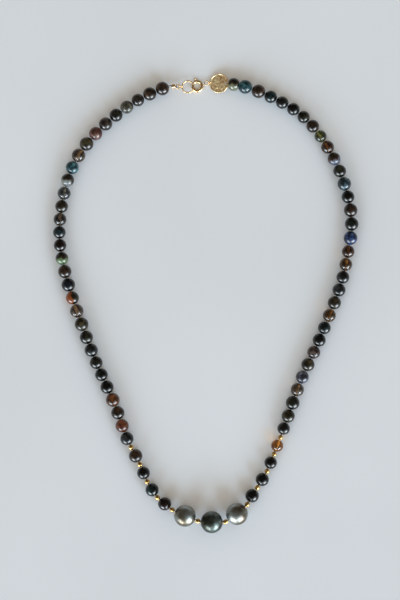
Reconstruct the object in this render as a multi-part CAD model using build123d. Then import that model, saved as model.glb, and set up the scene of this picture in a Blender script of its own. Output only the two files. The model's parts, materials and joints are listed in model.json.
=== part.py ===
from build123d import *

import os
from collections import namedtuple
from copy import copy
from math import cos, radians, sin, tan

# A closed strand of polished stone beads with three pearls at the front, lying flat.
# Millimetres and degrees. The origin is on the table below the middle of the outline,
# +Y runs from the front pearls to the clasp, and +Z is up.

# Stone beads, in order from the clasp to the front pearls
LEFT_STONES = (
    5.5, 5.4, 5.1, 5.3, 5.3, 5.4, 5.4, 5.6, 5.5, 5.3, 5.3, 5.3,
    5.2, 5.2, 5.1, 5.1, 5.2, 5.4, 5.5, 5.3, 5.5, 5.6, 5.4, 5.4,
    5.2, 5.2, 5.4, 5.6, 5.4, 5.4, 5.4, 5.5, 5.2, 5.4, 5.4,
)
RIGHT_STONES = (
    5.6, 5.5, 5.1, 5.1, 5.1, 5.0, 5.2, 4.9, 5.3, 5.3, 5.2, 5.5,
    5.2, 5.5, 5.5, 5.6, 5.1, 5.2, 5.2, 5.3, 5.4, 5.3, 5.2, 5.3,
    5.3, 5.4, 5.3, 5.4, 5.6, 5.4, 5.1, 5.0, 5.1, 5.4, 5.5,
)
END_BEAD_LENGTH = 3.8   # the short bead beside the disc
END_BEAD_WIDTH = 5.2

PEARL_WIDTHS = (8.8, 8.9, 8.9)   # left, middle, right
PEARL_RISES = (0.3, 0.0, -0.3)   # how far each pearl's bore climbs, left to right
SPACER_WIDTH = 2.1
SPACER_LENGTH = 2.05
FRONT_STONES = 4        # stones each side that have spacers between them
BEAD_BORE = 0.4         # radius of the hole through every bead

# Stones in each stiff length of strand, from the clasp to the front
LEFT_LENGTHS = (5, 6, 5, 5, 5, 5, 2, 2)
RIGHT_LENGTHS = (6, 6, 5, 5, 5, 5, 2, 2)
HINGE_GAP = 0.2         # between the two beads that a hinge lies between
FIT_ROUNDS = 4          # repeats that settle the spacing of the beads on the curve

# Thread and its two end loops
THREAD = 0.18           # radius
THREAD_END = 0.08       # from a thread's end to the hinge that it stops at
LOOP_LEFT = 0.75        # radius of the loop's middle line
LOOP_RIGHT = 0.6
LOOP_AT = 0.35          # from the end bead to the middle of the right loop
MOUTH_RADIUS = 0.85     # the end bead's bore is wider there for the loop
MOUTH_DEPTH = 0.5
ARC_SHARE = 0.45        # of the shorter run, taken by the arc at a bend

# The strand's middle line in plan, from the left end round the front to the right end
ROUTE = (
    (-14.7, 87.0), (-17.2, 86.1), (-27.4, 81.3), (-36.0, 75.3), (-44.2, 67.9),
    (-51.2, 58.9), (-55.4, 49.3), (-57.8, 38.5), (-58.7, 27.7), (-57.6, 17.7),
    (-55.0, 7.1), (-51.6, -3.3), (-47.8, -13.7), (-43.8, -24.1), (-39.4, -33.9),
    (-35.0, -44.3), (-31.4, -54.9), (-27.8, -61.5), (-21.6, -74.9), (-16.4, -80.7),
    (-8.5, -85.2), (2.6, -88.1), (13.2, -84.9), (18.9, -76.7), (23.2, -70.1),
    (28.8, -56.9), (31.4, -50.1), (35.0, -39.7), (38.8, -29.5), (43.6, -19.3),
    (47.8, -9.5), (51.8, 0.5), (55.2, 10.7), (57.3, 21.3), (58.7, 32.3),
    (57.0, 43.1), (53.7, 53.3), (48.6, 63.1), (42.6, 71.5), (34.8, 78.1),
    (25.8, 82.9), (15.6, 86.9), (9.3, 87.9),
)

# Left end: crimp with its cover, guarded loop, small link, end ring
LEFT_HEADING = -1.5     # plan direction from the last bead to the end ring
LEFT_DROP = 11.0        # how steeply the thread comes down from the last bead
CRIMP_AT = 1.85         # from the last bead's end to the crimp's middle
CRIMP_COVER = 1.0       # outside radius
COVER_WALL = 0.2
COVER_HOLE = 0.5
CRIMP_RADIUS = 0.42
CRIMP_LENGTH = 1.0
CRIMP_BORE = 0.2
COVER_SEAM = 3.0        # degrees left open where the cover's edges meet
LOOP_START = 2.95       # from the last bead's end to the near side of the loop
GUARD = 0.3             # outside radius of the wire guard on the loop
GUARD_BORE = 0.21
GUARD_ARC = 280.0

# Jump rings: radius of the middle line, then of the wire
LINK_WIRE = 0.16
END_LINK = 1.0
CLASP_LINK = 0.85
DISC_LINK = 0.85
END_RING = 2.34
END_RING_WIRE = 0.26
RING_PLAY = 0.12        # slack where two rings hold each other
RING_CUT = 0.03         # the closed seam of a jump ring
END_LINK_HEIGHT = 1.85
END_RING_HEIGHT = 1.78  # it lies across the spring ring

# Connector disc
DISC = 3.9
DISC_EDGE = 0.2         # half thickness beside the rim
DISC_CENTRE = 0.4       # half thickness in the middle
DISC_RIM = 0.24         # radius of the rounded rim
DISC_HOLE = 0.4
DISC_HOLE_INSET = 0.96  # from the disc's edge to a hole's centre
DISC_TILT = 14.0
DISC_START = 0.1        # from the end bead to the disc's edge
RIGHT_HEADING = 175.0   # plan direction from the end bead to the disc's far hole
DISC_LINK_HEADING = 180.0
CLASP_LINK_HEADING = 188.0
CLASP_HEADING = 201.0   # from the clasp's eye to its middle
LINK_HEIGHT = 1.03      # the standing link beside the disc just clears the table
CLASP_LINK_HEIGHT = 0.95

# Spring ring clasp, with angles from its eye
CASE = 1.9              # radius of the tube's middle line
CASE_TUBE = 0.6
CASE_BORE = 0.42
MOUTH_START = 104.0
MOUTH_END = 169.0
BOLT = 0.34             # radius of the curved bolt
BOLT_TAIL = 60.0
BOLT_TIP = 175.0
BOLT_TRAVEL = 55.0
KNOB_ANGLE = 84.0
KNOB = 0.42
KNOB_STAND = 1.15       # from the tube's middle line to the knob's middle
KNOB_STEM = 0.13
SLOT_HALF = 0.2
SLOT_PLAY = 5.0         # degrees past the knob's travel at each end
BORE_OVERRUN = 0.5      # degrees that a bore is cut past the tube's end
TIP_PLAY = 1.0          # degrees between the bolt's tip and its pocket's end
SPRING_END = -70.0
SPRING_RADIUS = 0.27
SPRING_WIRE = 0.06
SPRING_TURNS = 12
SPRING_PLAY = 2.0       # degrees left at each end of the coil
POINTS_PER_TURN = 8
EYE = 0.6
EYE_HEIGHT = 0.85
EYE_SET = 0.08          # how far the eye is sunk in the tube

POLES_ASIDE = Rotation(90, 0, 0)   # turns a ball's poles and seam away from its bore

Piece = namedtuple("Piece", "kind length width rise name")


def strand_bodies():
    """Every stiff length of the strand, from the left end to the right, as (name, pieces)."""
    spacer = Piece("spacer", SPACER_LENGTH, SPACER_WIDTH, 0.0, "")
    left = [Piece("stone", d, d, 0.0, f"left_{i}") for i, d in enumerate(LEFT_STONES, 1)]
    right = [Piece("stone", d, d, 0.0, f"right_{i}") for i, d in enumerate(RIGHT_STONES, 1)]
    right.insert(0, Piece("stone", END_BEAD_LENGTH, END_BEAD_WIDTH, 0.0, "right_0"))
    names = ("left", "middle", "right")
    pearls = [
        Piece("pearl", width, width, rise, name)
        for name, width, rise in zip(names, PEARL_WIDTHS, PEARL_RISES)
    ]
    left_bodies = side_bodies("left", left, LEFT_LENGTHS, spacer)
    right_bodies = side_bodies("right", right, RIGHT_LENGTHS, spacer)
    middle = [
        ("pearl_left", [spacer, pearls[0]]),
        ("front", [spacer, pearls[1], spacer]),
        ("pearl_right", [pearls[2], spacer]),
    ]
    mirrored = [(name, pieces[::-1]) for name, pieces in reversed(right_bodies)]
    return left_bodies + middle + mirrored


def side_bodies(side, stones, lengths, spacer):
    """One side's stones shared out from the clasp; the front ones follow a spacer each."""
    bodies = []
    used = 0
    for number, count in enumerate(lengths):
        pieces = []
        for stone in stones[used:used + count]:
            if used >= len(stones) - FRONT_STONES:
                pieces.append(spacer)
            pieces.append(stone)
        used += count
        bodies.append((f"{side}_{len(lengths) - number}", pieces))
    return bodies


def support(pieces, index):
    """Height of a piece's middle above the table; a spacer hangs between its neighbours."""
    if pieces[index].kind != "spacer":
        return pieces[index].width / 2
    return (pieces[index - 1].width + pieces[index + 1].width) / 4


def gap_height(pieces, index):
    """Height of the thread in front of piece number index."""
    before = pieces[index - 1] if index > 0 else None
    after = pieces[index] if index < len(pieces) else None
    if before and before.kind == "pearl":
        return before.width / 2 + before.rise
    if after and after.kind == "pearl":
        return after.width / 2 - after.rise
    if before is None or after is None:
        return (before or after).width / 2
    return (support(pieces, index - 1) + support(pieces, index)) / 2


def gap_points(bodies):
    """The points between neighbouring pieces, spread along the route with even spare."""
    pieces = [piece for _, group in bodies for piece in group]
    route = Spline(*ROUTE)
    hinges = set()
    count = 0
    for _, group in bodies[:-1]:
        count += len(group)
        hinges.add(count)
    loose_gaps = len(pieces) - len(hinges)
    loose = 0.0
    for _ in range(FIT_ROUNDS):
        distances = walk(route, pieces, hinges, loose)
        loose += (route.length - distances[-1]) / loose_gaps
    points = []
    for index, along in enumerate(distances):
        place = route.position_at(along / route.length)
        points.append(Vector(place.X, place.Y, gap_height(pieces, index)))
    return pieces, points, loose


def walk(route, pieces, hinges, loose):
    """Distances along the route of every gap's middle, with the pieces as straight steps."""
    distances = [0.0]
    previous_gap = loose
    for index, piece in enumerate(pieces, 1):
        next_gap = HINGE_GAP if index in hinges else loose
        straight = piece.length + (previous_gap + next_gap) / 2
        distances.append(distances[-1] + arc_over(route, distances[-1], straight))
        previous_gap = next_gap
    return distances


def arc_over(route, along, straight):
    """How much of the route, from a distance along it, spans this straight length."""
    start = route.position_at(along / route.length)
    arc = straight
    for _ in range(FIT_ROUNDS):
        end = route.position_at((along + arc) / route.length)
        arc += straight - (end - start).length
    return arc


def heading_frame(origin, heading, drop=0.0):
    """A frame at origin with X along a plan heading and tipped down by drop."""
    return Location(origin) * Rotation(0, 0, heading) * Rotation(0, drop, 0)


def heading_vector(heading):
    return Vector(cos(radians(heading)), sin(radians(heading)), 0)


def point_in(frame, x):
    """The point at x along a frame's X axis."""
    return (frame * Location((x, 0, 0))).position


def along_line(start, end, middle):
    """A frame at middle with Z along the line from start to end."""
    return Location(Plane(origin=middle, z_dir=end - start))


def bead(piece, start, end):
    """A stone or pearl: it rests on the table, and the thread's line is its bore."""
    middle = (start + end) * 0.5
    frame = along_line(start, end, Vector(middle.X, middle.Y, piece.width / 2))
    ball = POLES_ASIDE * Sphere(piece.width / 2)
    if piece.length < piece.width:
        ball &= Cylinder(piece.width, piece.length)
    return frame * ball - along_line(start, end, middle) * Cylinder(BEAD_BORE, piece.width * 2)


def end_bead(piece, start, end):
    """The short bead beside the disc; its bore opens wide for the thread's loop."""
    mouth = along_line(start, end, end) * Location((0, 0, -MOUTH_DEPTH / 2))
    return bead(piece, start, end) - mouth * Cone(BEAD_BORE, MOUTH_RADIUS, MOUTH_DEPTH)


def spacer(start, end):
    """A small round bead with flat ends, held off the table by the thread."""
    frame = along_line(start, end, (start + end) * 0.5)
    ball = Sphere(SPACER_WIDTH / 2) & Cylinder(SPACER_WIDTH, SPACER_LENGTH)
    return frame * (ball - Cylinder(BEAD_BORE, SPACER_WIDTH * 2))


def thread(points):
    """Thread along straight runs joined by the largest arcs that they allow."""
    radii = []
    for before, corner, after in zip(points, points[1:], points[2:]):
        turn = radians((corner - before).get_angle(after - corner))
        run = min((corner - before).length, (after - corner).length)
        radii.append(ARC_SHARE * run / tan(turn / 2))
    path = FilletPolyline(*points, radius=radii) if radii else Line(*points)
    return sweep(Plane(origin=points[0], z_dir=path % 0) * Circle(THREAD), path=path)


def moved_in(start, end, distance):
    """The point at this distance from start towards end."""
    return start + (end - start).normalized() * distance


def jump_ring(radius, wire):
    """A round ring of wire in its own XY plane with a closed seam at the side."""
    seam = Location((0, radius, 0)) * Box(RING_CUT, wire * 3, wire * 3)
    return Torus(radius, wire) - seam


def ring_arc(radius, wire, start, angle):
    """Part of a torus round Z, from a start angle."""
    return Rotation(0, 0, start) * Torus(radius, wire, major_angle=angle, align=None)


def crimp_tube():
    return Rotation(0, 90, 0) * (
        Cylinder(CRIMP_RADIUS, CRIMP_LENGTH) - Cylinder(CRIMP_BORE, CRIMP_LENGTH * 2)
    )


def crimp_cover():
    """A hollow ball folded over the crimp, with a hole at each end and its seam below."""
    half = Location((0, COVER_HOLE)) * Rectangle(
        CRIMP_COVER * 2, CRIMP_COVER, align=(Align.CENTER, Align.MIN)
    )
    section = (Circle(CRIMP_COVER) - Circle(CRIMP_COVER - COVER_WALL)) & half
    shell = revolve(section, Axis.X, revolution_arc=360 - COVER_SEAM)
    return Rotation(COVER_SEAM / 2 - 90, 0, 0) * shell


def wire_guard():
    """The sleeve round the far side of the thread's loop, in the loop's plane."""
    outside = ring_arc(LOOP_LEFT, GUARD, -GUARD_ARC / 2, GUARD_ARC)
    return outside - ring_arc(LOOP_LEFT, GUARD_BORE, -GUARD_ARC / 2, GUARD_ARC)


def connector_disc():
    """A domed disc with a rounded rim and a hole at each side, in its own XY plane."""
    top = TangentArc((0, DISC_CENTRE), (DISC, DISC_EDGE), tangent=(1, 0))
    bottom = TangentArc((0, -DISC_CENTRE), (DISC, -DISC_EDGE), tangent=(1, 0))
    rim = Line((DISC, -DISC_EDGE), (DISC, DISC_EDGE))
    middle = Line((0, -DISC_CENTRE), (0, DISC_CENTRE))
    lens = revolve(Plane.XZ * make_face([top, rim, bottom, middle]), Axis.Z)
    disc = lens + Torus(DISC - DISC_RIM, DISC_RIM)
    disc &= Cylinder(DISC, DISC)
    for side in (-1, 1):
        disc -= Location((side * (DISC - DISC_HOLE_INSET), 0, 0)) * Cylinder(DISC_HOLE, DISC)
    return disc


def clasp_case():
    """Bent tube, open at the mouth, with the knob's slot, the bolt's bore and the eye."""
    tube = ring_arc(CASE, CASE_TUBE, MOUTH_END, MOUTH_START + 360 - MOUTH_END)
    tube -= ring_arc(CASE, CASE_BORE, SPRING_END, MOUTH_START - SPRING_END + BORE_OVERRUN)
    pocket = BOLT_TIP + TIP_PLAY - MOUTH_END + BORE_OVERRUN
    tube -= ring_arc(CASE, CASE_BORE, MOUTH_END - BORE_OVERRUN, pocket)
    slot_start = KNOB_ANGLE - BOLT_TRAVEL - SLOT_PLAY
    slot_radius = CASE + (CASE_TUBE + CASE_BORE) / 2
    tube -= ring_arc(slot_radius, SLOT_HALF, slot_start, BOLT_TRAVEL + 2 * SLOT_PLAY)
    eye = Location((CASE + CASE_TUBE + EYE - EYE_SET, 0, EYE_HEIGHT - CASE_TUBE))
    eye_ring = eye * Rotation(90, 0, 0) * Torus(EYE, LINK_WIRE)
    return tube + (eye_ring - ring_arc(CASE, CASE_BORE, -90, 180))


def radial(angle, distance):
    """A frame at a distance from the clasp's middle with Z pointing outwards."""
    return Rotation(0, 0, angle) * Location((distance, 0, 0)) * Rotation(0, 90, 0)


def clasp_knob():
    stem = Cylinder(KNOB_STEM, KNOB_STAND, align=(Align.CENTER, Align.CENTER, Align.MIN))
    return radial(KNOB_ANGLE, CASE) * stem + radial(KNOB_ANGLE, CASE + KNOB_STAND) * Sphere(KNOB)


def clasp_bolt():
    arc = ring_arc(CASE, BOLT, BOLT_TAIL, BOLT_TIP - BOLT_TAIL)
    return arc - clasp_knob()


def clasp_spring():
    """A coil bent round the case's bore, from the bore's end to the bolt's tail."""
    turns = []
    steps = SPRING_TURNS * POINTS_PER_TURN
    for step in range(steps + 1):
        share = step / steps
        angle = SPRING_END + SPRING_PLAY + share * (BOLT_TAIL - SPRING_END - 2 * SPRING_PLAY)
        phase = radians(360 * SPRING_TURNS * share)
        out = CASE + SPRING_RADIUS * cos(phase)
        turns.append((out * cos(radians(angle)), out * sin(radians(angle)), SPRING_RADIUS * sin(phase)))
    path = Spline(*turns)
    return sweep(Plane(origin=path @ 0, z_dir=path % 0) * Circle(SPRING_WIRE), path=path)


def left_places(end):
    """Frames of the left end's pieces, and the points that they swing about."""
    strand = heading_frame(end, LEFT_HEADING, LEFT_DROP)
    loop = strand * Location((LOOP_START + LOOP_LEFT, 0, 0))
    far_wire = point_in(strand, LOOP_START + 2 * LOOP_LEFT)
    along = heading_vector(LEFT_HEADING)
    link_step = END_LINK - GUARD - LINK_WIRE - RING_PLAY
    link = flat(far_wire + along * link_step, END_LINK_HEIGHT)
    link_far = link + along * END_LINK
    ring_near = link_far - along * (LINK_WIRE + END_RING_WIRE + RING_PLAY)
    ring = flat(ring_near + along * END_RING, END_RING_HEIGHT)
    return {
        "crimp": strand * Location((CRIMP_AT, 0, 0)),
        "loop": loop,
        "loop_start": point_in(strand, LOOP_START),
        "end_link": heading_frame(link, LEFT_HEADING) * Rotation(90, 0, 0),
        "end_ring": heading_frame(ring, LEFT_HEADING),
        "end_link_pivot": far_wire,
        "end_ring_pivot": flat(ring_near, END_RING_HEIGHT),
    }


def flat(point, height):
    """The point's place in plan, at this height."""
    return Vector(point.X, point.Y, height)


def right_places(end):
    """Frames of the disc, its link and the clasp, and the points that they swing about."""
    strand = heading_frame(end, RIGHT_HEADING)
    rim = (DISC_HOLE_INSET - DISC_HOLE) / 2
    across = DISC_START + DISC * cos(radians(DISC_TILT))
    lower = (DISC - rim) * sin(radians(DISC_TILT))
    disc = heading_frame(point_in(strand, across) - Vector(0, 0, lower), RIGHT_HEADING, DISC_TILT)
    hole = point_in(disc, DISC - DISC_HOLE_INSET)
    along = heading_vector(DISC_LINK_HEADING)
    disc_link = flat(hole + along * DISC_LINK, LINK_HEIGHT)
    disc_link_far = disc_link + along * DISC_LINK
    step = 2 * LINK_WIRE + RING_PLAY
    along = heading_vector(CLASP_LINK_HEADING)
    clasp_link = flat(disc_link_far + along * (CLASP_LINK - step), CLASP_LINK_HEIGHT)
    clasp_link_far = clasp_link + along * CLASP_LINK
    eye = clasp_link_far + heading_vector(CLASP_HEADING) * (EYE - step)
    reach = CASE + CASE_TUBE + EYE - EYE_SET
    clasp = flat(eye + heading_vector(CLASP_HEADING) * reach, CASE_TUBE)
    return {
        "loop": strand * Location((LOOP_AT, 0, 0)) * Rotation(90, 0, 0),
        "disc": disc,
        "disc_link": heading_frame(disc_link, DISC_LINK_HEADING) * Rotation(90, 0, 0),
        "clasp_link": heading_frame(clasp_link, CLASP_LINK_HEADING),
        "clasp": heading_frame(clasp, CLASP_HEADING - 180),
        "disc_pivot": point_in(strand, LOOP_AT + LOOP_RIGHT),
        "disc_link_pivot": hole,
        "clasp_link_pivot": disc_link_far,
        "clasp_pivot": clasp_link_far,
        "bolt_pivot": clasp,
    }


def strand_nodes(bodies, pieces, points, left, right):
    """The beads, spacers and threads of every stiff length, by node name."""
    nodes = {}
    first = 0
    for name, group in bodies:
        beads, spacers = [], []
        for offset, piece in enumerate(group):
            start, end = points[first + offset], points[first + offset + 1]
            if piece.kind == "spacer":
                spacers.append(spacer(start, end))
            elif piece.kind == "pearl":
                nodes["pearl_" + piece.name] = bead(piece, start, end)
            elif piece is pieces[-1]:
                beads.append(end_bead(piece, start, end))
            else:
                beads.append(bead(piece, start, end))
        if beads:
            nodes["stones_" + name] = Compound(children=beads)
        if spacers:
            nodes["spacers_" + name] = Compound(children=spacers)
        nodes["thread_" + name] = thread(thread_points(points, first, len(group), left, right))
        first += len(group)
    nodes["thread_" + bodies[0][0]] += left["loop"] * Torus(LOOP_LEFT, THREAD)
    nodes["thread_" + bodies[-1][0]] += right["loop"] * Torus(LOOP_RIGHT, THREAD)
    return nodes


def thread_points(points, first, count, left, right):
    """One length's thread: it stops just short of a hinge, or runs on into an end loop."""
    run = points[first:first + count + 1]
    if first == 0:
        run = [left["loop_start"]] + run
    else:
        run[0] = moved_in(run[0], run[1], THREAD_END)
    if first + count == len(points) - 1:
        run[-1] = moved_in(run[-1], run[-2], LOOP_RIGHT - LOOP_AT)
    else:
        run[-1] = moved_in(run[-1], run[-2], THREAD_END)
    return run


def finding_nodes(left, right):
    """The metal pieces at the two ends, by node name."""
    return {
        "crimp_tube": left["crimp"] * crimp_tube(),
        "crimp_cover": left["crimp"] * crimp_cover(),
        "wire_guard": left["loop"] * wire_guard(),
        "end_link": left["end_link"] * jump_ring(END_LINK, LINK_WIRE),
        "end_ring": left["end_ring"] * jump_ring(END_RING, END_RING_WIRE),
        "connector_disc": right["disc"] * connector_disc(),
        "disc_link": right["disc_link"] * jump_ring(DISC_LINK, LINK_WIRE),
        "clasp_link": right["clasp_link"] * jump_ring(CLASP_LINK, LINK_WIRE),
        "clasp_case": right["clasp"] * clasp_case(),
        "clasp_bolt": right["clasp"] * clasp_bolt(),
        "clasp_knob": right["clasp"] * clasp_knob(),
        "clasp_spring": right["clasp"] * clasp_spring(),
    }


BODIES = strand_bodies()
PIECES, POINTS, LOOSE_GAP = gap_points(BODIES)
LEFT = left_places(POINTS[0])
RIGHT = right_places(POINTS[-1])
NODES = strand_nodes(BODIES, PIECES, POINTS, LEFT, RIGHT) | finding_nodes(LEFT, RIGHT)

# The outline's middle in plan, which the written parts have at the origin
OUTLINE = Compound(children=[copy(shape) for shape in NODES.values()]).bounding_box()
CENTRE = flat(OUTLINE.center(), 0)

os.makedirs("parts", exist_ok=True)
for node, shape in NODES.items():
    export_step(Location(-CENTRE) * shape, f"parts/{node}.step")
print("nodes", len(NODES), "loose gap", round(LOOSE_GAP, 3), "size", OUTLINE.size)
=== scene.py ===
import json
from collections import namedtuple
from math import acos, asin, ceil, cos, pi, radians, sin

import bmesh
import bpy
import numpy as np
from mathutils import Matrix, Vector, noise


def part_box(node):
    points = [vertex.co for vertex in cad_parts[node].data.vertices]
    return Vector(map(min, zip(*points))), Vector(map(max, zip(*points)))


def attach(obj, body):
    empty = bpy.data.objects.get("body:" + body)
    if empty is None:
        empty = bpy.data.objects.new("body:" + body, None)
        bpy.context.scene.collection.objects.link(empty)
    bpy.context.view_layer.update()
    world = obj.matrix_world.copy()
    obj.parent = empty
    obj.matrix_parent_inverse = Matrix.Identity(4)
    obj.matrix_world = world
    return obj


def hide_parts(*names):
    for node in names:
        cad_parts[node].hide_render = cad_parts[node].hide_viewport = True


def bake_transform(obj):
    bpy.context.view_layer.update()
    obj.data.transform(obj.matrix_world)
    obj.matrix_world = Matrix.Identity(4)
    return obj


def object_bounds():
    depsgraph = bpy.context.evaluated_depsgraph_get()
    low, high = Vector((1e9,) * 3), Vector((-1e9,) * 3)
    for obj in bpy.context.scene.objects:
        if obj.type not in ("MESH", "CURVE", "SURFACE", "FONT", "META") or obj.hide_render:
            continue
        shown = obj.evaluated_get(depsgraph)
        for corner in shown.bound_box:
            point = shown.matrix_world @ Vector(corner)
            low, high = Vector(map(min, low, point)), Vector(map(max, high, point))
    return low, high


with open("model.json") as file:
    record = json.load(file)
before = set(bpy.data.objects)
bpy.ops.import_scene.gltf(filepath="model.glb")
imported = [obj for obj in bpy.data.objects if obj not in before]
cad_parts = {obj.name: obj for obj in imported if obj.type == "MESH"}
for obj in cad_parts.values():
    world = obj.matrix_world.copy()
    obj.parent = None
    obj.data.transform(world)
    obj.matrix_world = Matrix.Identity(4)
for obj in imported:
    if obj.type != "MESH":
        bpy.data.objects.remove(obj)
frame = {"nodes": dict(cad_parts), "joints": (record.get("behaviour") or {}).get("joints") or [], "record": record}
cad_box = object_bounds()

# A closed strand of polished opal beads with three pearls at the front, seen from above.
# Metres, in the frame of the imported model: +Y runs from the pearls to the clasp, +Z is up.
MM = 0.001
UP = Vector((0, 0, 1))
SAME_PLACE = 0.0001 * MM   # points of a new mesh this near are one
SAME_SOLID = 0.001 * MM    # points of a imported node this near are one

# Colours by name, as (body, glint, clarity): the glint is the brighter play of colour in the
# stone, and on the stones painted lighter towards the windows (below) it is that painted
# light; a stone with some clarity shows its drilled channel.
STONES = {
    "umber": ((38, 27, 19), (72, 48, 33), 0.0),
    "chestnut": ((78, 44, 22), (136, 84, 46), 0.0),
    "russet": ((84, 40, 25), (140, 84, 60), 0.0),
    "maroon": ((18, 8, 6), (44, 23, 20), 0.0),
    "rose": ((82, 50, 42), (140, 104, 92), 0.0),
    "taupe": ((40, 34, 29), (78, 69, 61), 0.0),
    "mauve": ((48, 37, 33), (106, 89, 81), 0.0),
    "sage": ((74, 70, 58), (140, 142, 132), 0.0),
    "olive": ((36, 31, 18), (74, 67, 45), 0.0),
    "moss": ((18, 17, 11), (48, 49, 36), 0.0),
    "green": ((44, 38, 24), (104, 128, 88), 0.0),
    "teal": ((24, 58, 64), (92, 140, 146), 0.0),
    "deep_teal": ((8, 18, 19), (30, 54, 57), 0.0),
    "steel": ((34, 48, 54), (94, 122, 136), 0.0),
    "blue": ((24, 38, 72), (84, 112, 168), 0.0),
    "lavender": ((56, 56, 68), (120, 126, 146), 0.0),
    "slate": ((20, 22, 22), (50, 54, 56), 0.0),
    "black": ((7, 7, 6), (20, 20, 21), 0.0),
    "blue_black": ((5, 8, 12), (20, 28, 38), 0.0),
    "green_black": ((6, 10, 8), (20, 34, 28), 0.0),
    "two_tone": ((26, 28, 15), (132, 68, 32), 0.0),
    "drift": ((58, 48, 38), (132, 136, 132), 0.0),
    "dawn": ((66, 46, 34), (104, 110, 126), 0.0),
    "fern_grey": ((44, 36, 22), (122, 124, 98), 0.0),
    "smoke": ((128, 108, 90), (150, 128, 108), 0.85),
    "dusk": ((84, 72, 64), (116, 106, 100), 0.85),
    "bronze": ((122, 88, 53), (150, 112, 68), 0.85),
    "sepia": ((96, 62, 38), (132, 88, 57), 0.85),
    "fern": ((106, 112, 70), (128, 134, 84), 0.85),
    "mist": ((104, 110, 112), (128, 134, 138), 0.85),
    "honey": ((214, 150, 78), (228, 170, 98), 0.9),
}
STONE_DARK = 0.55                 # the darkest patches, as a share of a stone's body colour
STONE_STOPS = (0.36, 0.50, 0.68)  # where dark, body and glint lie in a stone's noise
HALVED_STOPS = (0.47, 0.52)       # the same for body and glint in a stone of two halves

# Stones with a way across the bead in which the glint takes over: Z is along the thread
# towards the disc, and Y is up. two_tone is a stone of two real colours. green, drift, dawn
# and fern_grey point to -Y, the side that the windows light, so their lighter half there is
# painted light on the lit side.
SPLITS_AND_PAINTED_LIT_SIDES = {
    "two_tone": (-1.0, 0.0, 0.0),
    "green": (0.0, 0.0, 1.0),
    "drift": (0.0, 0.0, 1.0),
    "dawn": (0.0, 0.0, -1.0),
    "fern_grey": (1.0, 0.0, 0.0),
}
SPLIT_SOFTNESS = 5.0 * MM         # the distance in which that value grows by one

# The stones from the clasp down each side to the pearls
LEFT_COLOURS = (
    "umber umber taupe sage moss taupe rose olive smoke teal drift mist "
    "olive dusk deep_teal maroon green umber blue_black two_tone smoke olive moss slate "
    "moss green_black black chestnut umber russet slate umber black deep_teal maroon"
).split()
RIGHT_COLOURS = (
    "fern_grey teal umber deep_teal slate black moss umber fern sepia dawn moss "
    "steel black umber green_black blue sepia bronze slate slate olive bronze deep_teal "
    "black mauve olive lavender smoke moss olive slate honey black black black"
).split()

# Noise in the materials, as repeats per metre
PATCH_SCALE = 520.0
STONE_GRAIN = 2600.0
WALL_GRAIN = 5000.0
NACRE_DRIFT = 240.0
NACRE_GRAIN = 5200.0
GOLD_WEAR = 900.0
GOLD_GRAIN = 3800.0
STEEL_GRAIN = 3000.0
THREAD_FIBRES = 9000.0
TABLE_TONE = 9.0
BUMP_HEIGHT = 0.02 * MM

# Degrees between faces above which an edge is shaded sharp
BEAD_SHARP = 50.0
COIL_SHARP = 60.0
DISC_SHARP = 35.0
TABLE_SHARP = 40.0

# Beads
BEAD_SEGMENTS = 56
BEAD_RINGS = 32
BEAD_BORE = 0.4 * MM
LIP = 0.07 * MM          # the polished edge of a drilled hole
LIP_STEPS = (pi / 6, pi / 3, pi / 2)
FLAT_END = 1.05          # a bead's end is flat where it is this much wider than the hole
SOFT_EDGE = 0.04         # how far a flat end's edge is rounded in, as a share of its radius
WALL_STEPS = (-0.6, -0.2, 0.2, 0.6)   # places along a hole's wall, as shares of half its length
PLAY = 0.02 * MM         # how much smaller a bead is drawn than its solid, to turn freely
END_BEAD_TRIM = 0.985    # length of the short bead at the disc, as a share of its solid's
STONE_WAVINESS = 0.004   # how far from round a hand-cut stone is, as a share of its radius
PEARL_WAVINESS = 0.006
WAVES = 0.9              # waves on a bead's radius
SEED_STEP = 1.37         # from one bead's pattern to the next one's
SEED_SHIFT = Vector((3.1, 1.7, 2.3))
SPACER_SEGMENTS = 40
SPACER_RINGS = 20
SPACER_TRIM = 0.975      # half a spacer's length, as a share of its radius
SPACER_COLLAR = 0.16 * MM
SPACER_EDGE = 0.03 * MM
SPACER_LIP = 0.93        # where the hole's wall starts, as a share of half the length
SPACER_SEAM = 0.03 * MM  # depth of the soldered seam round a spacer
SPACER_SEAM_TURN = 0.09  # half the seam's width, in radians

# Thread
THREAD = 0.17 * MM
PLY_PITCH = 0.9 * MM     # length of one twist of the thread
PLY_OFFSET = 0.45        # of a ply from the thread's middle line, as a share of the thread
PLY_RADIUS = 0.55
PLY_SIDES = 8
THREAD_STEP = 0.12 * MM
LOOP_STEP = 0.3 * MM
LEFT_LOOP = 0.75 * MM
RIGHT_LOOP = 0.6 * MM

# Gold pieces
WIRE_SIDES = 20
WIRE_STEP = 0.1 * MM
WIRE_CUT = 0.035 * MM    # the gap between a jump ring's ends
GUARD_TURNS = 24
GUARD_TURN_STEPS = 12
GUARD_SWEEP = 280.0      # degrees of the thread's loop that the wire guard covers
GUARD_COIL = 0.24 * MM
GUARD_WIRE = 0.055 * MM
GUARD_SIDES = 8
COVER_SEGMENTS = 48
COVER_RINGS = 12
COVER_WALL = 0.2 * MM
COVER_HOLE = 0.5 * MM
COVER_GAP = 3.0          # degrees left open where the crimp cover is folded shut
SPRING_TURNS = 9
SPRING_TURN_STEPS = 16
SPRING_WIRE = 0.06 * MM
SPRING_SIDES = 8

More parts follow.
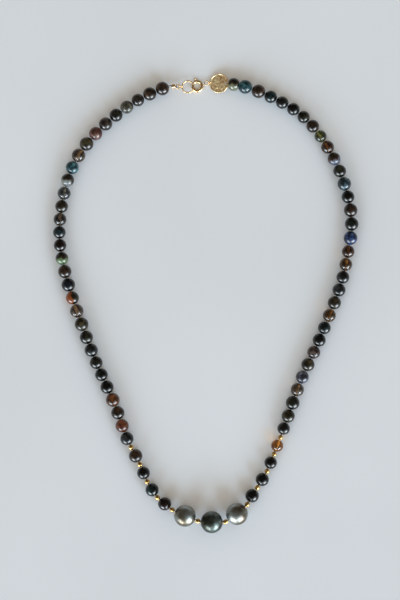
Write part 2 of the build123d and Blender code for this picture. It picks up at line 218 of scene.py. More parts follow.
# Hammered disc, with heights from the middle of its rim
DISC_SEGMENTS = 160
DISC_RINGS = 32
DISC_HOLE = 0.43 * MM
DISC_HOLE_SIDES = 48
DRILL_REACH = 2 * MM
DISC_RIM = 0.24 * MM
DISC_RIM_TURNS = [radians(150 - step * 15) for step in range(17)]
FIELD_INSET = 0.30 * MM  # between the hammered field and the middle of the rim
FIELD_TOP = 0.42 * MM
FIELD_FALL = 0.32 * MM   # how much lower the field is at its edge
UNDER_INSET = 0.2 * MM
UNDER_EDGE = -0.16 * MM
UNDER_FALL = 0.2 * MM
UNDER_RINGS = 10
DENT = 1.3 * MM          # how far apart the hammer marks are
DENT_DEPTH = 0.42 * MM
DENT_LEVEL = 0.65        # squared distance from a mark's middle where the field isn't moved
DENT_END = 0.86          # where the marks fade out, as a share of the disc's radius
DENT_FADE = 0.1

# Camera and light
CAMERA_HEIGHT = 0.75
FRAME_HEIGHT = 0.24      # of the table that the picture shows, at the strand
FRAME_OFFSET = Vector((-0.0023, 0.0012, 0.0))   # of the picture's middle from the strand's
SENSOR_HEIGHT = 24.0
NEAREST, FARTHEST = 0.01, 20.0
FLOOR_SIZE = 4.0
Lamp = namedtuple("Lamp", "name turn rise distance width height watts colour glossy")
# Turns are degrees from -Y towards +X, and rises are degrees above the table. The glossy
# lamps are what polished surfaces reflect, and the others are their light on the rest.
LAMPS = (
    Lamp("window_left", -28.0, 9.0, 3.0, 1.8, 1.5, 125.0, (0.82, 0.92, 1.0), True),
    Lamp("window_right", 37.0, 14.0, 3.0, 1.8, 2.0, 165.0, (0.82, 0.92, 1.0), True),
    Lamp("curtain_left", -32.0, 14.0, 6.0, 6.9, 4.6, 280.0, (0.82, 0.92, 1.0), True),
    Lamp("curtain_right", 38.0, 24.0, 6.0, 6.9, 5.9, 330.0, (0.82, 0.92, 1.0), True),
    Lamp("daylight_left", -26.0, 24.0, 6.0, 2.8, 2.8, 145.0, (0.55, 0.76, 1.0), False),
    Lamp("daylight_right", 36.0, 27.0, 6.0, 2.8, 2.8, 175.0, (0.55, 0.76, 1.0), False),
)
ROOM_FILL = (0.58, 0.535, 0.475, 1.0)   # the room's light on matt surfaces
ROOM_SEEN = (                           # what gloss reflects, from the front horizon up and back
    (0.0, (0.46, 0.44, 0.40, 1.0)),
    (0.30, (0.26, 0.24, 0.21, 1.0)),
    (0.62, (0.09, 0.074, 0.055, 1.0)),
)
ROOM_LEAN = (0.0, 0.6, 1.0)             # the way in which that room grows darker

# A bead: half is half its length along the thread
Item = namedtuple("Item", "name kind body node centre radius half")
RECORD = frame["record"]
BODY_OF_NODE = {n: body for body, nodes in RECORD["behaviour"]["bodies"].items() for n in nodes}
JOINTS = {joint["name"]: joint for joint in frame["joints"]}


# ---------------------------------------------------------------- materials
def linear(rgb):
    """A screen colour from 0 to 255 as the linear colour that shaders use."""
    def channel(value):
        share = value / 255
        return share / 12.92 if share <= 0.04045 else ((share + 0.055) / 1.055) ** 2.4
    return (*(channel(value) for value in rgb), 1.0)


def new_material(name):
    """An empty node material with its Principled shader, as (material, nodes, links, shader)."""
    material = bpy.data.materials.new(name)
    material.use_nodes = True
    tree = material.node_tree
    shader = tree.nodes["Principled BSDF"]
    return material, tree.nodes, tree.links, shader


def local_noise(nodes, links, scale, detail, seeded=False):
    """Noise in the piece's own space; seeded noise differs from bead to bead."""
    place = nodes.new("ShaderNodeTexCoord")
    texture = nodes.new("ShaderNodeTexNoise")
    texture.inputs["Scale"].default_value = scale
    texture.inputs["Detail"].default_value = detail
    links.new(place.outputs["Object"], texture.inputs["Vector"])
    if seeded:
        texture.noise_dimensions = "4D"
        seed = nodes.new("ShaderNodeAttribute")
        seed.attribute_name = "seed"
        links.new(seed.outputs["Fac"], texture.inputs["W"])
    return texture.outputs["Fac"]


def ramp(nodes, links, value, stops):
    """A colour ramp over a value, from (position, colour) stops."""
    node = nodes.new("ShaderNodeValToRGB")
    elements = node.color_ramp.elements
    while len(elements) < len(stops):
        elements.new(0.5)
    for element, (position, colour) in zip(elements, stops):
        element.position = position
        element.color = colour
    links.new(value, node.inputs["Fac"])
    return node.outputs["Color"]


def spread(nodes, links, value, low, high):
    """A value from 0 to 1 mapped to a range."""
    node = nodes.new("ShaderNodeMapRange")
    node.inputs["To Min"].default_value = low
    node.inputs["To Max"].default_value = high
    links.new(value, node.inputs["Value"])
    return node.outputs["Result"]


def towards(nodes, links, way, unevenness):
    """A value that grows across a bead in one way, made uneven by another value."""
    place = nodes.new("ShaderNodeTexCoord")
    across = nodes.new("ShaderNodeVectorMath")
    across.operation = "DOT_PRODUCT"
    across.inputs[1].default_value = [share / SPLIT_SOFTNESS for share in way]
    links.new(place.outputs["Object"], across.inputs[0])
    total = nodes.new("ShaderNodeMath")
    total.operation = "ADD"
    links.new(across.outputs["Value"], total.inputs[0])
    links.new(unevenness, total.inputs[1])
    return total.outputs["Value"]


def bump(nodes, links, shader, height, strength):
    """A fine unevenness of a shader's surface."""
    node = nodes.new("ShaderNodeBump")
    node.inputs["Strength"].default_value = strength
    node.inputs["Distance"].default_value = BUMP_HEIGHT
    links.new(height, node.inputs["Height"])
    links.new(node.outputs["Normal"], shader.inputs["Normal"])


def stone_material(word):
    """Polished opal: a dark body with soft patches of its brighter colour, under a gloss."""
    body, glint, clarity = STONES[word]
    material, nodes, links, shader = new_material("stone_" + word)
    patches = local_noise(nodes, links, PATCH_SCALE, 4.0, seeded=True)
    # two_tone is split into its two real colours; the other split stones get a painted lit side, lighter towards
    # the windows
    if word in SPLITS_AND_PAINTED_LIT_SIDES:
        patches = towards(nodes, links, SPLITS_AND_PAINTED_LIT_SIDES[word], patches)
    dark = [channel * STONE_DARK for channel in body]
    stops = zip(STONE_STOPS, (linear(dark), linear(body), linear(glint)))
    if word == "two_tone":
        stops = zip(HALVED_STOPS, (linear(body), linear(glint)))
    links.new(ramp(nodes, links, patches, list(stops)), shader.inputs["Base Color"])
    grain = local_noise(nodes, links, STONE_GRAIN, 2.0, seeded=True)
    links.new(spread(nodes, links, grain, 0.03, 0.10), shader.inputs["Roughness"])
    bump(nodes, links, shader, grain, 0.05)
    shader.inputs["IOR"].default_value = 1.45
    shader.inputs["Specular IOR Level"].default_value = 0.45
    shader.inputs["Transmission Weight"].default_value = clarity
    shader.inputs["Coat Weight"].default_value = 0.15
    shader.inputs["Coat Roughness"].default_value = 0.38
    return material


def channel_material():
    """The rough wall of a drilled hole."""
    material, nodes, links, shader = new_material("drilled_wall")
    grain = local_noise(nodes, links, WALL_GRAIN, 2.0)
    stops = [(0.35, linear((176, 146, 108))), (0.65, linear((226, 204, 168)))]
    links.new(ramp(nodes, links, grain, stops), shader.inputs["Base Color"])
    shader.inputs["Roughness"].default_value = 0.8
    return material


def pearl_material(name, deep, pale, overtone):
    """Nacre: soft metallic lustre with slow changes of colour and a thin clear gloss."""
    material, nodes, links, shader = new_material(name)
    slow = local_noise(nodes, links, NACRE_DRIFT, 2.0, seeded=True)
    stops = [(0.35, linear(deep)), (0.52, linear(pale)), (0.70, linear(overtone))]
    links.new(ramp(nodes, links, slow, stops), shader.inputs["Base Color"])
    grain = local_noise(nodes, links, NACRE_GRAIN, 3.0, seeded=True)
    links.new(spread(nodes, links, grain, 0.32, 0.40), shader.inputs["Roughness"])
    bump(nodes, links, shader, grain, 0.08)
    shader.inputs["Metallic"].default_value = 0.85
    shader.inputs["Coat Weight"].default_value = 0.2
    shader.inputs["Coat Roughness"].default_value = 0.2
    shader.inputs["Sheen Weight"].default_value = 0.08
    shader.inputs["Sheen Roughness"].default_value = 0.25
    shader.inputs["Sheen Tint"].default_value = linear((214, 222, 212))
    return material


def gold_material(name, pale, deep, rough, dents, metallic=0.85):
    """Polished gold plate, with random browner patches and an uneven roughness."""
    material, nodes, links, shader = new_material(name)
    wear = local_noise(nodes, links, GOLD_WEAR, 4.0)
    stops = [(0.3, linear(deep)), (0.6, linear(pale))]
    links.new(ramp(nodes, links, wear, stops), shader.inputs["Base Color"])
    grain = local_noise(nodes, links, GOLD_GRAIN, 3.0)
    links.new(spread(nodes, links, grain, rough * 0.6, rough * 1.4), shader.inputs["Roughness"])
    bump(nodes, links, shader, grain, dents)
    shader.inputs["Metallic"].default_value = metallic
    return material


def steel_material():
    """Bright spring wire."""
    material, nodes, links, shader = new_material("spring_wire")
    grain = local_noise(nodes, links, STEEL_GRAIN, 2.0)
    stops = [(0.3, linear((150, 150, 150))), (0.7, linear((206, 206, 204)))]
    links.new(ramp(nodes, links, grain, stops), shader.inputs["Base Color"])
    shader.inputs["Metallic"].default_value = 1.0
    shader.inputs["Roughness"].default_value = 0.28
    return material


def thread_material():
    """Dark twisted beading thread with a fine fibre grain."""
    material, nodes, links, shader = new_material("beading_thread")
    fibres = local_noise(nodes, links, THREAD_FIBRES, 4.0)
    stops = [(0.35, linear((20, 14, 12))), (0.7, linear((66, 52, 44)))]
    links.new(ramp(nodes, links, fibres, stops), shader.inputs["Base Color"])
    bump(nodes, links, shader, fibres, 0.4)
    shader.inputs["Roughness"].default_value = 0.75
    shader.inputs["Sheen Weight"].default_value = 0.3
    return material


def floor_material():
    """A plain pale matt table top."""
    material, nodes, links, shader = new_material("table")
    tone = local_noise(nodes, links, TABLE_TONE, 2.0)
    stops = [(0.3, linear((228, 230, 231))), (0.7, linear((234, 236, 237)))]
    links.new(ramp(nodes, links, tone, stops), shader.inputs["Base Color"])
    shader.inputs["Roughness"].default_value = 0.9
    shader.inputs["Specular IOR Level"].default_value = 0.0
    return material


# ---------------------------------------------------------------- mesh helpers
def link_mesh(name, vertices, faces, materials, sharp, face_materials=None):
    """A new mesh object with smooth shading that keeps its sharp edges."""
    mesh = bpy.data.meshes.new(name)
    mesh.from_pydata([tuple(v) for v in vertices], [], faces)
    merge_points(mesh)
    for material in materials:
        mesh.materials.append(material)
    if face_materials is not None:
        mesh.polygons.foreach_set("material_index", face_materials)
    mesh.shade_smooth()
    mesh.set_sharp_from_angle(angle=radians(sharp))
    mesh.update()
    piece = bpy.data.objects.new(name, mesh)
    bpy.context.scene.collection.objects.link(piece)
    return piece


def merge_points(mesh):
    """Makes one of points at the same place, such as those on a revolved shape's axis."""
    work = bmesh.new()
    work.from_mesh(mesh)
    bmesh.ops.remove_doubles(work, verts=work.verts, dist=SAME_PLACE)
    work.to_mesh(mesh)
    work.free()


def set_seed(piece, value):
    """The number that makes a bead's colour patches its own."""
    attribute = piece.data.attributes.new("seed", "FLOAT", "POINT")
    attribute.data.foreach_set("value", [value] * len(piece.data.vertices))


def revolve(profile, segments, closed=True):
    """Points and faces of a (radius, height) profile turned round Z."""
    vertices, faces = [], []
    count = len(profile)
    rows = count if closed else count - 1
    for step in range(segments):
        angle = 2 * pi * step / segments
        vertices += [Vector((r * cos(angle), r * sin(angle), z)) for r, z in profile]
    for step in range(segments):
        here, after = step * count, (step + 1) % segments * count
        for index in range(rows):
            following = (index + 1) % count
            faces.append((here + index, here + following, after + following, after + index))
    return vertices, faces


def revolve_open(profile, segments, gap):
    """The same with a gap in degrees left round -X and closed by flat ends."""
    vertices, faces = [], []
    count = len(profile)
    turn = radians(360 - gap)
    for step in range(segments + 1):
        angle = turn * (step / segments - 0.5)
        vertices += [Vector((r * cos(angle), r * sin(angle), z)) for r, z in profile]
    for step in range(segments):
        here, after = step * count, (step + 1) * count
        for index in range(count):
            following = (index + 1) % count
            faces.append((here + index, here + following, after + following, after + index))
    faces.append(tuple(range(count - 1, -1, -1)))
    faces.append(tuple(range(segments * count, (segments + 1) * count)))
    return vertices, faces


def bead_profile(radius, half, bore):
    """Outline of a drilled ball, cut off at half its length each side of the middle."""
    hole = bore + LIP
    top = min(acos(hole / radius), asin(min(half / radius, 1.0)))
    steps = [top * (1 - 2 * step / BEAD_RINGS) for step in range(BEAD_RINGS + 1)]
    outside = [(radius * cos(angle), radius * sin(angle)) for angle in steps]
    edge_radius, edge_height = outside[0]
    rim = []
    if edge_radius > hole * FLAT_END:
        rim = [(hole + share * (edge_radius - hole), edge_height) for share in (0.0, 0.5)]
        outside = soften(outside, edge_radius)
    lip = [(bore + LIP * (1 - sin(a)), edge_height - LIP * (1 - cos(a))) for a in LIP_STEPS]
    upper = lip[::-1] + rim
    lower = [(r, -z) for r, z in upper[::-1]]
    wall = [(bore, edge_height * share) for share in WALL_STEPS]
    return upper + outside + lower + wall


def soften(outside, edge_radius):
    """Rounds the two edges where a ball's ends are cut flat."""
    first, last = outside[0], outside[-1]
    inset = edge_radius * SOFT_EDGE
    return [(first[0] - inset, first[1])] + outside[1:-1] + [(last[0] - inset, last[1])]


def ripple(vertices, radius, amount, seed):
    """Moves points in a little, so that a ball isn't perfectly round."""
    moved = []
    for point in vertices:
        height = noise.noise(point / radius * WAVES + SEED_SHIFT * seed)
        moved.append(point * (1 - amount * (0.5 + 0.5 * height)))
    return moved


def tube(path, radius, sides):
    """Points and faces of a round tube with flat ends along a list of points."""
    count = len(path)
    vertices, faces = [], []
    tangent = (path[1] - path[0]).normalized()
    side = tangent.orthogonal().normalized()
    for index, point in enumerate(path):
        before, after = path[max(index - 1, 0)], path[min(index + 1, count - 1)]
        tangent = (after - before).normalized()
        side = (side - tangent * side.dot(tangent)).normalized()
        other = tangent.cross(side)
        for step in range(sides):
            angle = 2 * pi * step / sides
            vertices.append(point + (side * cos(angle) + other * sin(angle)) * radius)
    for index in range(count - 1):
        here, after = index * sides, (index + 1) * sides
        for step in range(sides):
            following = (step + 1) % sides
            faces.append((here + step, here + following, after + following, after + step))
    faces.append(tuple(range(sides - 1, -1, -1)))
    faces.append(tuple(range((count - 1) * sides, count * sides)))
    return vertices, faces


def join(parts):
    """Several (points, faces) made one."""
    vertices, faces = [], []
    for points, polygons in parts:
        base = len(vertices)
        vertices += points
        faces += [tuple(base + index for index in polygon) for polygon in polygons]
    return vertices, faces


def facing(direction):
    """A rotation with Z along a direction and Y as near as can be to up."""
    z = Vector(direction).normalized()
    y = (UP - z * UP.dot(z)).normalized()
    x = y.cross(z)
    return Matrix((x, y, z)).transposed().to_4x4()


def place(piece, centre, rotation):
    """Puts a piece made round its own origin where it belongs."""
    piece.matrix_world = Matrix.Translation(centre) @ rotation
    return piece


def settle(piece, body, slot, *nodes):
    """Rides on a body and stands for CAD nodes, which it hides; its slot is not used."""
    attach(piece, body)
    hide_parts(*nodes)


# ---------------------------------------------------------------- places from the frame
def islands(node):
    """The points of each separate solid in a node, as arrays."""
    mesh = bmesh.new()
    mesh.from_mesh(frame["nodes"][node].data)
    bmesh.ops.remove_doubles(mesh, verts=mesh.verts, dist=SAME_SOLID)
    found, seen = [], set()
    for start in mesh.verts:
        if start in seen:
            continue
        group, queue = [], [start]
        seen.add(start)
        while queue:
            vertex = queue.pop()
            group.append(tuple(vertex.co))
            for edge in vertex.link_edges:
                other = edge.other_vert(vertex)
                if other not in seen:
                    seen.add(other)
                    queue.append(other)
        found.append(np.array(group))
    mesh.free()
    return found


def ball_of(points):
    """Centre and radius of the ball that a bead's points lie on."""
    system = np.column_stack([2 * points, np.ones(len(points))])
    answer = np.linalg.lstsq(system, (points ** 2).sum(1), rcond=None)[0]
    centre = answer[:3]
    return centre, np.linalg.norm(points - centre, axis=1).max() - PLAY


def strand_items():
    """Every bead of the strand in order, from the left end to the disc."""
    loose = []
    for node in frame["nodes"]:
        kind = node.split("_")[0]
        if kind not in ("stones", "spacers", "pearl"):
            continue
        for points in islands(node):
            centre, radius = ball_of(points)
            loose.append([kind, BODY_OF_NODE[node], node, centre, radius, points])
    low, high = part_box("crimp_cover")
    here = np.array((low + high) / 2)
    ordered = []
    while loose:
        nearest = min(loose, key=lambda entry: np.linalg.norm(entry[3] - here))
        loose.remove(nearest)
        ordered.append(nearest)
        here = nearest[3]
    return named_items(ordered)


def named_items(ordered):
    """The ordered beads as Items with the names that people would use."""
    kinds = [entry[0] for entry in ordered]
    stones = kinds.count("stones")
    stones_left = kinds[:kinds.index("pearl")].count("stones")
    items = []
    number = 0
    spacers = 0
    for kind, body, node, centre, radius, points in ordered:
        half = radius
        if kind == "stones":
            number += 1
            last = number == stones
            left = number <= stones_left
            index = number if left else stones - number
            name = f"stone_{'left' if left else 'right'}_{index:02d}"
            if last:
                centre = (points.min(0) + points.max(0)) / 2
                radius = (points[:, 2].max() - points[:, 2].min()) / 2
                half = (points[:, 0].max() - points[:, 0].min()) / 2 * END_BEAD_TRIM
        elif kind == "spacers":
            spacers += 1
            half = radius * SPACER_TRIM
            name = f"spacer_{spacers:02d}"
        else:
            name = node + "_nacre"
        items.append(Item(name, kind, body, node, Vector(centre), radius, half))
    return items


def gaps_between(items):
    """The point in each gap of the strand, with the two ends' own."""
    gaps = []
    for a, b in zip(items, items[1:]):
        gaps.append(a.centre.lerp(b.centre, a.half / (a.half + b.half)))
    first, last = items[0], items[-1]
    start = first.centre + (first.centre - gaps[0]).normalized() * first.half
    end = last.centre + (last.centre - gaps[-1]).normalized() * last.half
    return [start] + gaps + [end]


def ring_of(node):
    """Centre, normal, middle-line radius and wire radius of a round wire ring."""
    points = np.vstack(islands(node))
    centre = (points.min(0) + points.max(0)) / 2
    normal = np.linalg.svd(points - centre, full_matrices=False)[2][2]
    wire = np.abs((points - centre) @ normal).max()
    radius = np.linalg.norm(points - centre, axis=1).max() - wire
    return Vector(centre), Vector(normal), radius, wire


# ---------------------------------------------------------------- strand pieces
def bead_piece(item, axis, waviness, seed, material):
    """A drilled bead, with the hole's wall in its own material."""
    profile = bead_profile(item.radius, item.half, BEAD_BORE)
    vertices, faces = revolve(profile, BEAD_SEGMENTS)
    count = len(profile)
    wall = count - len(WALL_STEPS) - 1
    slots = [1 if index % count >= wall else 0 for index in range(len(faces))]
    vertices = ripple(vertices, item.radius, waviness, seed)
    piece = link_mesh(item.name, vertices, faces, [material, DRILLED], BEAD_SHARP, slots)
    set_seed(piece, seed)
    return place(piece, item.centre, facing(axis))


def spacer_piece(item, axis):
    """A tiny hollow gold ball with a collar at each hole and a soldered seam."""
    collar = BEAD_BORE + SPACER_COLLAR
    top = acos(collar / item.radius)
    outside = []
    for step in range(SPACER_RINGS + 1):
        angle = top * (1 - 2 * step / SPACER_RINGS)
        out = item.radius - SPACER_SEAM * max(0.0, 1 - abs(angle) / SPACER_SEAM_TURN)
        outside.append((out * cos(angle), out * sin(angle)))
    height = item.half
    rim = [(BEAD_BORE, height * SPACER_LIP), (BEAD_BORE + SPACER_EDGE, height),
           (collar - SPACER_EDGE, height)]
    lower = [(r, -z) for r, z in rim[::-1]]
    vertices, faces = revolve(rim + outside + lower, SPACER_SEGMENTS)
    piece = link_mesh(item.name, vertices, faces, [GOLD_SPACER], BEAD_SHARP)
    return place(piece, item.centre, facing(axis))


def build_beads(items, gaps):
    """Every bead of the strand, with its own seed and, for a stone, its own colour."""
    colours = iter(LEFT_COLOURS + RIGHT_COLOURS[::-1])
    for index, item in enumerate(items):
        axis = gaps[index + 1] - gaps[index]
        seed = SEED_STEP * index
        if item.kind == "stones":
            slot = "dark_stone"
            piece = bead_piece(item, axis, STONE_WAVINESS, seed, STONE_LOOKS[next(colours)])
        elif item.kind == "pearl":
            slot = slot_of(item.node)
            axis = Vector(JOINTS["spin_" + item.node]["axis"])
            piece = bead_piece(item, axis, PEARL_WAVINESS, seed, PEARLS[slot])
        else:
            slot = "gold_spacer"
            piece = spacer_piece(item, axis)
        settle(piece, item.body, slot, item.node)


def smooth_path(points, step):
    """Points every step along a smooth line through the given ones."""
    ends = [points[0] * 2 - points[1]] + points + [points[-1] * 2 - points[-2]]
    path = []
    for a, b, c, d in zip(ends, ends[1:], ends[2:], ends[3:]):
        count = max(2, ceil((c - b).length / step))
        for index in range(count):
            t = index / count
            path.append(
                0.5 * (2 * b + (c - a) * t + (2 * a - 5 * b + 4 * c - d) * t * t
                       + (3 * b - a - 3 * c + d) * t ** 3)
            )
    return path + [points[-1]]


def twisted(path):
    """Two plies wound round each other along a path."""
    parts = []
    for ply in (0, 1):
        line = []
        along = 0.0
        side = (path[1] - path[0]).orthogonal().normalized()
        for index, point in enumerate(path):
            before, after = path[max(index - 1, 0)], path[min(index + 1, len(path) - 1)]
            tangent = (after - before).normalized()
            side = (side - tangent * side.dot(tangent)).normalized()
            angle = 2 * pi * along / PLY_PITCH + ply * pi
            out = side * cos(angle) + tangent.cross(side) * sin(angle)
            line.append(point + out * THREAD * PLY_OFFSET)
            if index < len(path) - 1:
                along += (path[index + 1] - point).length
        parts.append(tube(line, THREAD * PLY_RADIUS, PLY_SIDES))
    return join(parts)


def circle(centre, start, normal, radius, step, turns=1.0):
    """Points round a circle from a start direction."""
    first = start.normalized()
    other = normal.cross(first).normalized()
    count = ceil(2 * pi * radius * turns / step)
    angles = [2 * pi * turns * index / count for index in range(count + 1)]
    return [centre + (first * cos(a) + other * sin(a)) * radius for a in angles]


def strand_threads(items, gaps):
    """One thread for each stiff length, from joint to joint, with the end loops."""
    bodies = []
    for item in items:
        owner = strand_body(item)
        if not bodies or bodies[-1][0] != owner:
            bodies.append([owner, []])
        bodies[-1][1].append(item)
    first = 0
    for owner, group in bodies:
        line = gaps[first:first + len(group) + 1]
        if first == 0:
            line = left_loop(line)
        if first + len(group) == len(items):
            line = right_loop(line)
        vertices, faces = twisted(smooth_path(line, THREAD_STEP))
        name = owner.replace("strand", "thread")
        piece = link_mesh(name + "_plies", vertices, faces, [THREAD_LOOK], COIL_SHARP)
        settle(piece, owner, "thread", name)
        first += len(group)


def strand_body(item):
    """The stiff length that a bead is threaded on; a pearl turns on its neighbour's."""
    owners = {"pearl_left": "strand_pearl_left", "pearl_middle": "strand_front",
              "pearl_right": "strand_pearl_right"}
    return owners.get(item.body, item.body)


def left_loop(line):
    """Runs the left thread through the crimp and round the guarded loop."""
    pivot = Vector(JOINTS["lift_end_link"]["pos_m"])
    along = (pivot - line[0]).normalized()
    centre = pivot - along * LEFT_LOOP
    normal = along.cross(Vector((0, 1, 0))).normalized()
    loop = circle(centre, -along, normal, LEFT_LOOP, LOOP_STEP)
    return loop[::-1] + [line[0]] + line[1:]


def right_loop(line):
    """Runs the right thread out of the end bead and round the disc's rim."""
    pivot = Vector(JOINTS["swing_disc"]["pos_m"])
    along = (pivot - line[-1])
    along.z = 0
    along.normalize()
    centre = pivot - along * RIGHT_LOOP
    normal = along.cross(UP).normalized()
    return line[:-1] + circle(centre, -along, normal, RIGHT_LOOP, LOOP_STEP)


# ---------------------------------------------------------------- metal pieces
def ring_piece(node, gap_towards):
    """A jump ring of round wire, with its cut ends a hair apart."""
    centre, normal, radius, wire = ring_of(node)
    first = gap_towards - normal * gap_towards.dot(normal)
    turn = 1 - WIRE_CUT / (2 * pi * radius)
    path = circle(centre, first, normal, radius, WIRE_STEP, turn)
    vertices, faces = tube(path, wire, WIRE_SIDES)
    piece = link_mesh(node + "_wire", vertices, faces, [GOLD], BEAD_SHARP)
    settle(piece, BODY_OF_NODE[node], "gold_finding", node)


def guard_piece():
    """The fine wire coil that keeps the link from cutting the thread's loop."""
    pivot = Vector(JOINTS["lift_end_link"]["pos_m"])
    centre, normal, _, _ = ring_of("wire_guard")
    along = (pivot - centre).normalized()
    centre = pivot - along * LEFT_LOOP
    side = normal.cross(along).normalized()
    steps = GUARD_TURNS * GUARD_TURN_STEPS
    path = []
    for step in range(steps + 1):
        share = step / steps
        angle = radians(GUARD_SWEEP) * (share - 0.5)
        out = along * cos(angle) + side * sin(angle)
        phase = 2 * pi * GUARD_TURNS * share
        offset = out * (LEFT_LOOP + GUARD_COIL * cos(phase))
        path.append(centre + offset + normal * GUARD_COIL * sin(phase))
    vertices, faces = tube(path, GUARD_WIRE, GUARD_SIDES)
    piece = link_mesh("wire_guard_coil", vertices, faces, [GOLD], COIL_SHARP)
    settle(piece, "strand_left_8", "gold_finding", "wire_guard")


def crimp_cover_piece(along):
    """The hollow ball folded over the crimp, with rolled hole edges and a seam below."""
    low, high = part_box("crimp_cover")
    centre = (low + high) / 2
    radius = (high.z - low.z) / 2
    inside = radius - COVER_WALL
    shares = [step / COVER_RINGS - 1 for step in range(2 * COVER_RINGS + 1)]
    top = acos(COVER_HOLE / radius)
    outer = [(radius * cos(top * share), -radius * sin(top * share)) for share in shares]
    top = acos(COVER_HOLE / inside)
    inner = [(inside * cos(top * share), inside * sin(top * share)) for share in shares]
    vertices, faces = revolve_open(outer + inner, COVER_SEGMENTS, COVER_GAP)
    piece = link_mesh("crimp_cover_shell", vertices, faces, [GOLD], BEAD_SHARP)
    # the gap is round the profile's -X, which this turns to face the table
    place(piece, centre, facing(along) @ Matrix.Rotation(radians(90), 4, "Z"))
    settle(piece, "strand_left_8", "gold_finding", "crimp_cover")


def spring_piece():
    """The coil behind the clasp's bolt, drawn at one length: it doesn't shorten as the bolt comes back."""
    points = np.vstack(islands("clasp_spring"))
    centre = Vector(JOINTS["open_clasp_bolt"]["pos_m"])
    across = Vector(JOINTS["swing_clasp"]["pos_m"]) - centre
    across.z = 0
    across.normalize()
    side = UP.cross(across)
    offsets = points - np.array(centre)
    turned = np.arctan2(offsets @ np.array(side), offsets @ np.array(across))
    distance = np.hypot(offsets[:, 0], offsets[:, 1])
    middle = (distance.min() + distance.max()) / 2
    coil = (distance.max() - distance.min()) / 2 - SPRING_WIRE
    steps = SPRING_TURNS * SPRING_TURN_STEPS
    path = []
    for step in range(steps + 1):
        share = step / steps
        angle = turned.min() + share * (turned.max() - turned.min())
        phase = 2 * pi * SPRING_TURNS * share
        out = across * cos(angle) + side * sin(angle)
        path.append(centre + out * (middle + coil * cos(phase)) + UP * coil * sin(phase))
    vertices, faces = tube(path, SPRING_WIRE, SPRING_SIDES)
    piece = link_mesh("clasp_spring_coil", vertices, faces, [STEEL], COIL_SHARP)
    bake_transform(piece)
    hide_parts("clasp_spring")


def disc_piece():
    """The disc: a raised rim round a dished, hammered field, with a hole each side."""
    points = np.vstack(islands("connector_disc"))
    centre = (points.min(0) + points.max(0)) / 2
    radius = np.linalg.norm(points - centre, axis=1).max()
    hole_at = Vector(JOINTS["swing_disc_link"]["pos_m"])
    across = (hole_at - Vector(centre)).normalized()
    normal = (UP - across * UP.dot(across)).normalized()
    rotation = Matrix((across, normal.cross(across), normal)).transposed().to_4x4()
    vertices, faces = revolve(disc_profile(radius), DISC_SEGMENTS, closed=False)
    vertices = [hammered(point, radius) for point in vertices]
    piece = link_mesh("connector_disc_hammered", vertices, faces, [GOLD_DISC], DISC_SHARP)
    inset = (hole_at - Vector(centre)).length
    for side in (-1, 1):
        drill(piece, Vector((side * inset, 0, 0)), DISC_HOLE)
    place(piece, Vector(centre), rotation)
    settle(piece, "connector_disc", "gold_disc", "connector_disc")


def disc_profile(radius):
    """Half section of the disc, from the middle of its top over the rim to its underside."""
    middle = radius - DISC_RIM
    shares = [step / DISC_RINGS for step in range(DISC_RINGS + 1)]
    field = middle - FIELD_INSET
    top = [(share * field, FIELD_TOP - FIELD_FALL * share * share) for share in shares]
    edge = [(middle + DISC_RIM * cos(a), DISC_RIM * sin(a)) for a in DISC_RIM_TURNS]
    shares = [1 - step / UNDER_RINGS for step in range(UNDER_RINGS + 1)]
    field = middle - UNDER_INSET
    under = [(share * field, UNDER_EDGE - UNDER_FALL * (1 - share * share)) for share in shares]
    return top + edge + under


def hammered(point, radius):
    """Shallow round hammer marks over the disc's field."""
    if point.z < 0:
        return point
    flat = Vector((point.x, point.y, 0))
    fade = max(0.0, min(1.0, (DENT_END - flat.length / radius) / DENT_FADE))
    cell = noise.voronoi(flat / DENT, distance_metric="DISTANCE")[0][0]
    dent = (cell * cell - DENT_LEVEL) * DENT_DEPTH
    return Vector((point.x, point.y, point.z + dent * fade))


def drill(piece, at, radius):
    """Cuts a round hole along Z."""
    reach = UP * DRILL_REACH
    vertices, faces = tube([at - reach, at + reach], radius, DISC_HOLE_SIDES)
    cutter = link_mesh("cutter", vertices, faces, [], DISC_SHARP)
    cut = piece.modifiers.new("hole", "BOOLEAN")
    cut.object = cutter
    cut.operation = "DIFFERENCE"
    cut.solver = "EXACT"
    apply_modifiers(piece)
    bpy.data.objects.remove(cutter)


def apply_modifiers(piece):
    """Makes the modifiers' result the piece's own mesh."""
    graph = bpy.context.evaluated_depsgraph_get()
    mesh = bpy.data.meshes.new_from_object(piece.evaluated_get(graph))
    old = piece.data
    piece.modifiers.clear()
    piece.data = mesh
    bpy.data.meshes.remove(old)
    piece.data.shade_smooth()
    piece.data.set_sharp_from_angle(angle=radians(DISC_SHARP))


def finish_node(node, material):
    """Gives a CAD node that is shown as it is its material."""
    mesh = frame["nodes"][node].data
    mesh.materials.clear()
    mesh.materials.append(material)


def slot_of(node):
    """The material slot that the record gives a node."""
    return next(part["material_slot"] for part in RECORD["subparts"] if part["node"] == node)


# ---------------------------------------------------------------- stage, light and camera
def build_stage():
    """The table top."""
    half = FLOOR_SIZE / 2
    corners = [(-half, -half, 0), (half, -half, 0), (half, half, 0), (-half, half, 0)]
    floor = link_mesh("table", corners, [(0, 1, 2, 3)], [floor_material()], TABLE_SHARP)


def build_lights():
    """The windows and daylight low in front of the strand, and the room round it."""
    for lamp in LAMPS:
        light = bpy.data.lights.new(lamp.name, "AREA")
        light.shape = "RECTANGLE"
        light.size = lamp.width
        light.size_y = lamp.height
        light.energy = lamp.watts
        light.color = lamp.colour
        holder = bpy.data.objects.new(lamp.name, light)
        bpy.context.scene.collection.objects.link(holder)
        rise, turn = radians(lamp.rise), radians(lamp.turn)
        out = Vector((sin(turn) * cos(rise), -cos(turn) * cos(rise), sin(rise)))
        holder.matrix_world = Matrix.Translation(out * lamp.distance) @ facing(out)
        holder.visible_camera = False
        holder.visible_glossy = lamp.glossy
        holder.visible_diffuse = not lamp.glossy
    build_room()


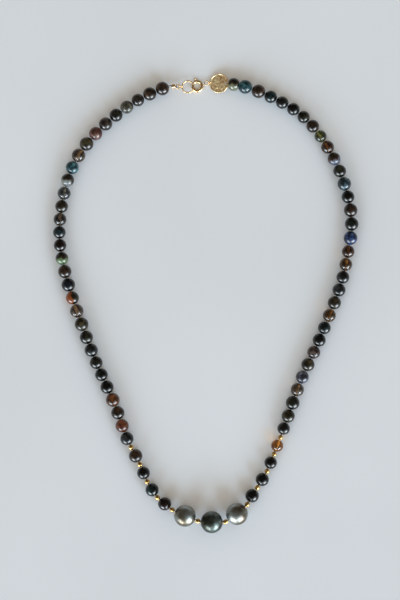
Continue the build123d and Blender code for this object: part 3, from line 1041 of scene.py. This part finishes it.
def build_room():
    """An even fill for matt surfaces; gloss sees a room that darkens towards the ceiling."""
    world = bpy.data.worlds.new("room")
    world.use_nodes = True
    world.cycles.sampling_method = "NONE"
    nodes, links = world.node_tree.nodes, world.node_tree.links
    fill = nodes["Background"]
    fill.inputs["Color"].default_value = ROOM_FILL
    place_in = nodes.new("ShaderNodeTexCoord")
    height = nodes.new("ShaderNodeVectorMath")
    height.operation = "DOT_PRODUCT"
    height.inputs[1].default_value = ROOM_LEAN
    links.new(place_in.outputs["Generated"], height.inputs[0])
    seen = nodes.new("ShaderNodeBackground")
    links.new(ramp(nodes, links, height.outputs["Value"], ROOM_SEEN), seen.inputs["Color"])
    path = nodes.new("ShaderNodeLightPath")
    mix = nodes.new("ShaderNodeMixShader")
    links.new(path.outputs["Is Glossy Ray"], mix.inputs["Fac"])
    links.new(fill.outputs["Background"], mix.inputs[1])
    links.new(seen.outputs["Background"], mix.inputs[2])
    links.new(mix.outputs["Shader"], nodes["World Output"].inputs["Surface"])
    bpy.context.scene.world = world


def build_camera():
    """Straight above, upright, on the part of the table that the strand lies on."""
    low, high = cad_box
    centre = (Vector(low) + Vector(high)) / 2 + FRAME_OFFSET
    data = bpy.data.cameras.new("camera")
    camera = bpy.data.objects.new("camera", data)
    bpy.context.scene.collection.objects.link(camera)
    camera.location = (centre.x, centre.y, CAMERA_HEIGHT)
    data.sensor_fit = "VERTICAL"
    data.sensor_height = SENSOR_HEIGHT
    data.lens = SENSOR_HEIGHT * (CAMERA_HEIGHT - centre.z) / FRAME_HEIGHT
    data.clip_start = NEAREST
    data.clip_end = FARTHEST
    bpy.context.scene.camera = camera
    bpy.context.scene.view_settings.view_transform = "Standard"


# ---------------------------------------------------------------- the model
DRILLED = channel_material()
GOLD = gold_material("gold_plate", (244, 212, 160), (196, 152, 98), rough=0.24, dents=0.25)
GOLD_SPACER = gold_material("gold_bead", (232, 194, 124), (176, 126, 62), rough=0.2, dents=0.2)
GOLD_DISC = gold_material(
    "gold_hammered", (255, 232, 180), (176, 116, 58), rough=0.2, dents=0.4, metallic=0.5
)
STEEL = steel_material()
THREAD_LOOK = thread_material()
PEARLS = {
    "silver_pearl": pearl_material("nacre_silver", (92, 82, 66), (134, 134, 126), (158, 168, 170)),
    "peacock_pearl": pearl_material("nacre_peacock", (32, 31, 22), (62, 66, 60), (102, 114, 112)),
}
STONE_LOOKS = {word: stone_material(word) for word in STONES}

build_stage()
build_lights()
build_camera()

items = strand_items()
gaps = gaps_between(items)
build_beads(items, gaps)
strand_threads(items, gaps)

guard_piece()
crimp_cover_piece(gaps[0] - gaps[1])
# each ring with the side that its cut is on
ring_piece("end_link", UP)
ring_piece("end_ring", Vector((-0.3, -1, 0)))
ring_piece("disc_link", -UP)
ring_piece("clasp_link", Vector((0, 1, 0)))
disc_piece()
for node in ("crimp_tube", "clasp_case", "clasp_bolt", "clasp_knob"):
    finish_node(node, GOLD)
spring_piece()
